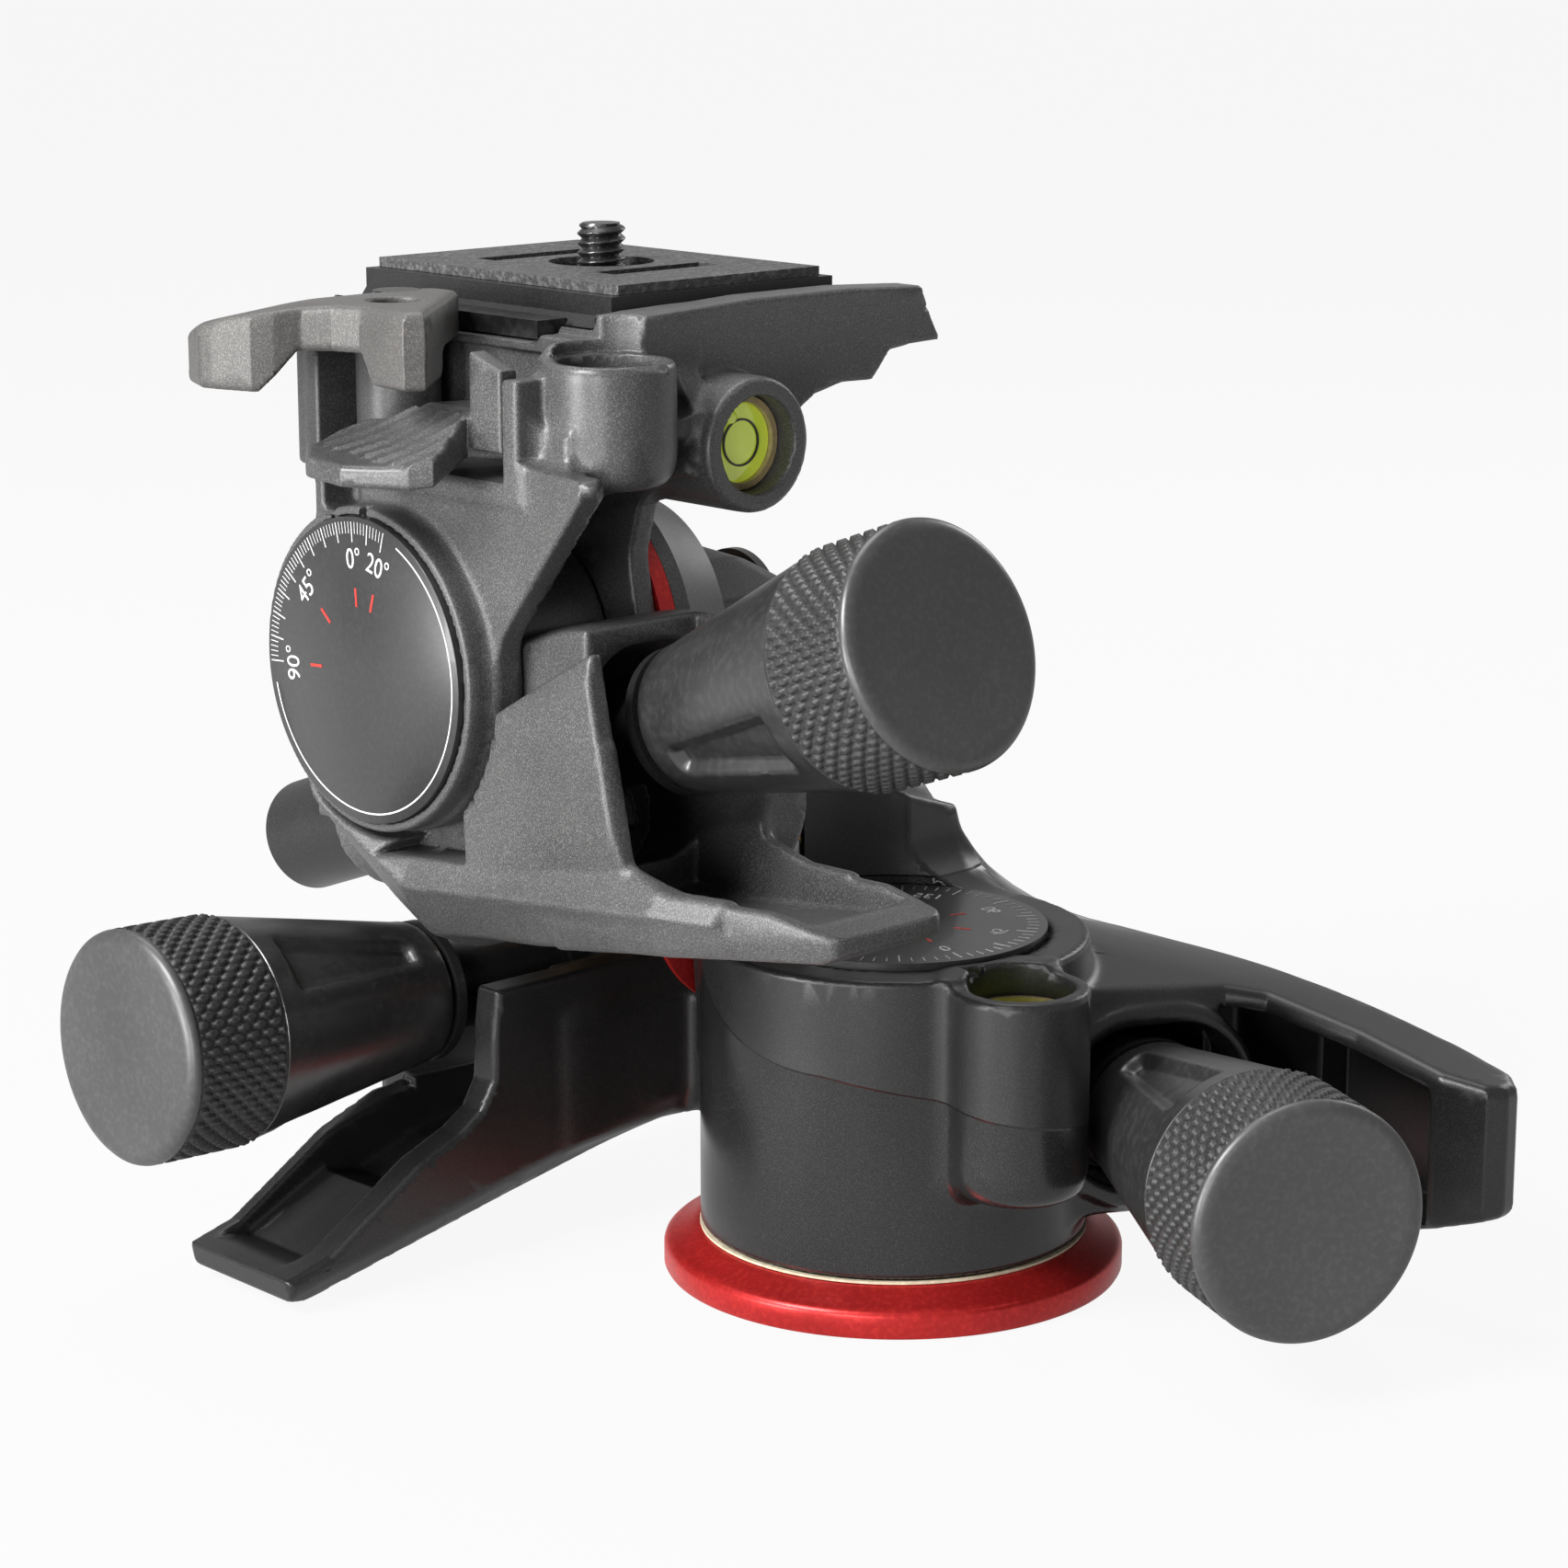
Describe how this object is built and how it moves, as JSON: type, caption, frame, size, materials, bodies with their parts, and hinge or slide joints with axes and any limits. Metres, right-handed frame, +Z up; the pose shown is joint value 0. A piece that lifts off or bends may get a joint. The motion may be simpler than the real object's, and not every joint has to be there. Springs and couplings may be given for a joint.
{
  "type": "geared tripod head",
  "caption": "Three-way geared tripod head with three squeeze-release knobs, tilt and pan dials, two bubble levels and a quick-release camera plate.",
  "frame": {"origin": "centre of the base flange's bottom face, on the pan axis", "axes": "+Z up along the pan axis; +X along the front tilt axis away from its dial; -Y is the way the front tilt knob points"},
  "size_m": [0.1316, 0.1634, 0.1328],
  "materials": {
    "red_metal": "satin red anodised",
    "black_polymer": "fine sparkle grain",
    "grey_polymer": "grained, lighter grey",
    "lever_grey": "textured warm grey",
    "soft_black": "soft touch",
    "rubber": "matt textured",
    "dial_black": "printed satin",
    "steel": "turned",
    "dark_steel": "black oxide",
    "brass": "machined",
    "bronze": "plain",
    "vial": "clear lime",
    "pale_seal": "matt"
  },
  "bodies": {
    "base": {"base_flange": "red_metal", "thread_bush": "steel", "pan_post": "steel", "pan_wheel": "bronze", "pan_dial": "dial_black", "dial_screw": "dark_steel", "seal_ring": "pale_seal"},
    "housing": {"pan_housing": "black_polymer", "pan_bush": "bronze", "rear_bracket": "black_polymer", "pan_level": "vial", "lateral_bush_front": "bronze", "lateral_bush_rear": "bronze", "carrier_pin_b": "steel", "carrier_pin_c": "steel", "spring_b": "steel", "spring_c": "steel"},
    "yoke_c": {"carrier_c": "black_polymer"},
    "spinner_c": {"worm_c": "steel", "knob_c": "soft_black", "grip_c": "rubber", "cap_c": "soft_black"},
    "yoke_b": {"carrier_b": "black_polymer"},
    "spinner_b": {"worm_b": "steel", "knob_b": "soft_black", "grip_b": "rubber", "cap_b": "soft_black"},
    "tilt": {"tilt_body": "grey_polymer", "front_dial": "dial_black", "lateral_shaft": "steel", "lateral_wheel": "bronze", "lateral_ring": "red_metal", "rear_cover": "black_polymer", "front_bush": "bronze", "outer_cap": "soft_black", "carrier_pin_a": "steel", "spring_a": "steel"},
    "yoke_a": {"carrier_a": "black_polymer"},
    "spinner_a": {"worm_a": "steel", "knob_a": "soft_black", "grip_a": "rubber", "cap_a": "soft_black"},
    "platform": {"platform_body": "grey_polymer", "front_shaft": "steel", "front_wheel": "bronze", "front_ring": "red_metal", "end_cap": "grey_polymer", "platform_level": "vial", "quick_pin": "dark_steel", "lock_pin": "steel", "camera_plate": "black_polymer", "plate_pad": "rubber"},
    "release": {"quick_lever": "lever_grey"},
    "safety": {"lock_lever": "grey_polymer"},
    "jaw": {"clamp_jaw": "brass"},
    "screw": {"camera_screw": "dark_steel", "d_ring": "steel"}
  },
  "joints": [
    {"name": "pan", "type": "hinge", "parent": "base", "child": "housing", "pos_m": [0, 0, 0.0238], "axis": [0, 0, 1], "continuous": true},
    {"name": "lateral", "type": "hinge", "parent": "housing", "child": "tilt", "pos_m": [-0.002, 0.045, 0.0484], "axis": [0, 1, 0], "range_deg": [-3, 90]},
    {"name": "front", "type": "hinge", "parent": "tilt", "child": "platform", "pos_m": [-0.02, 0.045, 0.0793], "axis": [-1, 0, 0], "range_deg": [-20, 90]},
    {"name": "squeeze_a", "type": "hinge", "parent": "tilt", "child": "yoke_a", "pos_m": [-0.031, 0.05815, 0.05695], "axis": [1, 0, 0], "range_deg": [0, 5.5], "stiffness_Nm_per_rad": 0.5, "springref_deg": -17.19},
    {"name": "squeeze_b", "type": "hinge", "parent": "housing", "child": "yoke_b", "pos_m": [0.01741, 0.052, 0.03121], "axis": [0, -1, 0], "range_deg": [0, 5.5], "stiffness_Nm_per_rad": 0.5, "springref_deg": -17.19},
    {"name": "squeeze_c", "type": "hinge", "parent": "housing", "child": "yoke_c", "pos_m": [0.0328, 0.00729, 0.0238], "axis": [0, 0, 1], "range_deg": [0, 6.5], "stiffness_Nm_per_rad": 0.5, "springref_deg": -17.19},
    {"name": "spin_a", "type": "hinge", "parent": "yoke_a", "child": "spinner_a", "pos_m": [-0.031, -0.01702, 0.08432], "axis": [0, -0.9397, 0.342], "continuous": true},
    {"name": "spin_b", "type": "hinge", "parent": "yoke_b", "child": "spinner_b", "pos_m": [-0.06254, 0.052, 0.034], "axis": [-0.9994, 0, 0.0349], "continuous": true},
    {"name": "spin_c", "type": "hinge", "parent": "yoke_c", "child": "spinner_c", "pos_m": [0.00433, -0.05666, 0.0238], "axis": [-0.4067, -0.9135, 0], "continuous": true},
    {"name": "quick", "type": "hinge", "parent": "platform", "child": "release", "pos_m": [-0.0395, 0.0505, 0.124], "axis": [0, 0, -1], "range_deg": [0, 35]},
    {"name": "lock", "type": "hinge", "parent": "platform", "child": "safety", "pos_m": [-0.038, 0.028, 0.11], "axis": [0, 0, -1], "range_deg": [0, 12], "stiffness_Nm_per_rad": 0.05, "springref_deg": -22.92},
    {"name": "clamp", "type": "slide", "parent": "platform", "child": "jaw", "axis": [-1, 0, 0], "range_m": [0, 0.0015]},
    {"name": "screw_spin", "type": "hinge", "parent": "platform", "child": "screw", "pos_m": [-0.007, 0.0485, 0.125], "axis": [0, 0, 1], "continuous": true}
  ],
  "couplings": [
    {"joint": "spin_a", "follows": "front", "ratio": -48},
    {"joint": "spin_b", "follows": "lateral", "ratio": -48},
    {"joint": "spin_c", "follows": "pan", "ratio": -48},
    {"joint": "clamp", "follows": "quick", "m_per_rad": 0.002292}
  ]
}
